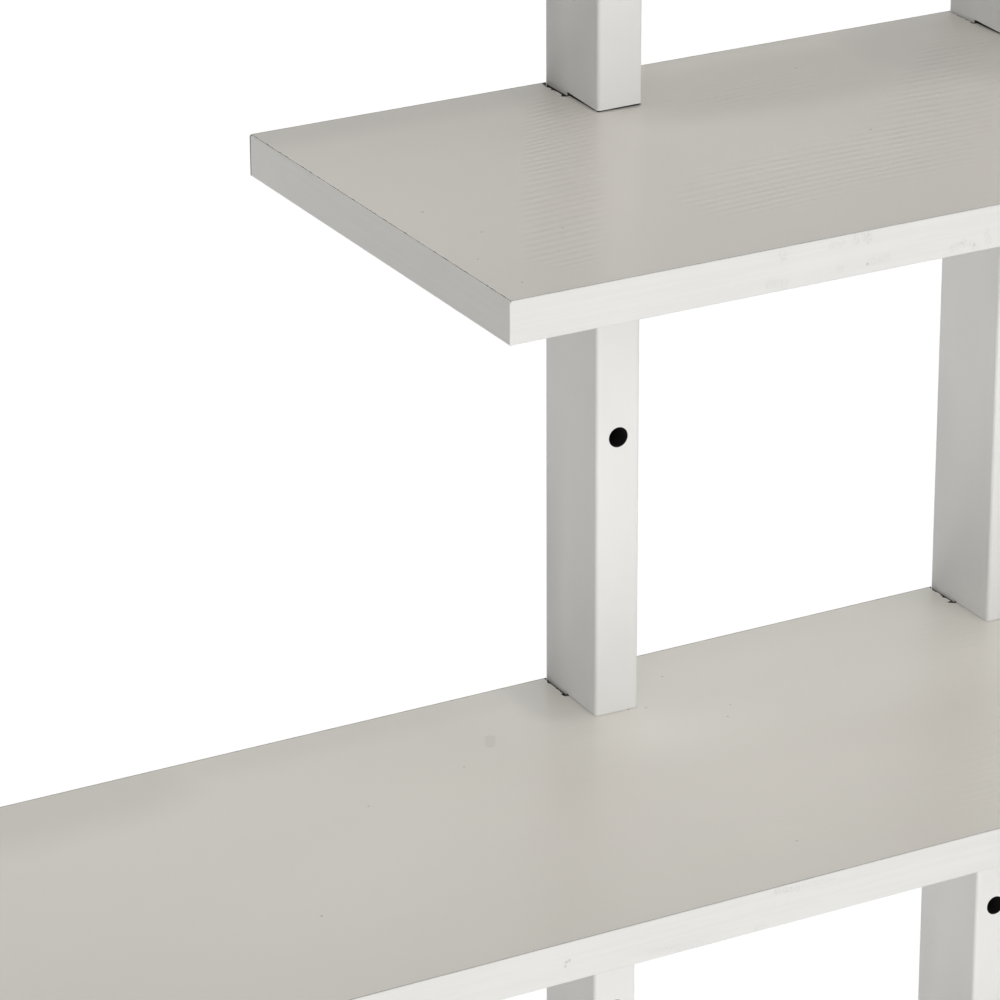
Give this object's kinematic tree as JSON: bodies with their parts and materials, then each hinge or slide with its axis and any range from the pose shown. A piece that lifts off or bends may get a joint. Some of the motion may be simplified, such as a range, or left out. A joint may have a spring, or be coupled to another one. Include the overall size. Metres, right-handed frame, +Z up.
{
  "type": "floating wall shelf",
  "caption": "Staggered wall shelf: slim upright posts with wall-screw holes carry wood-grain boards half-lapped into their fronts, offset left and right.",
  "frame": {"origin": "on the wall plane, midway between the two posts and midway up them", "axes": "+X along the boards to the right, +Y from the front towards the wall, +Z up"},
  "size_m": [0.847, 0.2005, 0.9],
  "materials": {
    "board": "white melamine facing with a fine embossed grain, satin",
    "edge_band": "white edge band, fine streaks along its length, satin",
    "post": "smooth white foil over fibreboard, satin",
    "screw": "zinc plated"
  },
  "bodies": {
    "root": {"bottom_shelf_board": "board", "bottom_shelf_front_band": "edge_band", "bottom_shelf_left_band": "edge_band", "bottom_shelf_left_screw": "screw", "bottom_shelf_rear_band_left": "edge_band", "bottom_shelf_rear_band_middle": "edge_band", "bottom_shelf_rear_band_right": "edge_band", "bottom_shelf_right_band": "edge_band", "bottom_shelf_right_screw": "screw", "left_post": "post", "left_post_bottom_band": "edge_band", "left_post_top_band": "edge_band", "lower_shelf_board": "board", "lower_shelf_front_band": "edge_band", "lower_shelf_left_band": "edge_band", "lower_shelf_left_screw": "screw", "lower_shelf_rear_band_left": "edge_band", "lower_shelf_rear_band_middle": "edge_band", "lower_shelf_rear_band_right": "edge_band", "lower_shelf_right_band": "edge_band", "lower_shelf_right_screw": "screw", "right_post": "post", "right_post_bottom_band": "edge_band", "right_post_top_band": "edge_band", "top_shelf_board": "board", "top_shelf_front_band": "edge_band", "top_shelf_left_band": "edge_band", "top_shelf_left_screw": "screw", "top_shelf_rear_band_left": "edge_band", "top_shelf_rear_band_middle": "edge_band", "top_shelf_rear_band_right": "edge_band", "top_shelf_right_band": "edge_band", "top_shelf_right_screw": "screw", "upper_shelf_board": "board", "upper_shelf_front_band": "edge_band", "upper_shelf_left_band": "edge_band", "upper_shelf_left_screw": "screw", "upper_shelf_rear_band_left": "edge_band", "upper_shelf_rear_band_middle": "edge_band", "upper_shelf_rear_band_right": "edge_band", "upper_shelf_right_band": "edge_band", "upper_shelf_right_screw": "screw"}
  },
  "joints": []
}
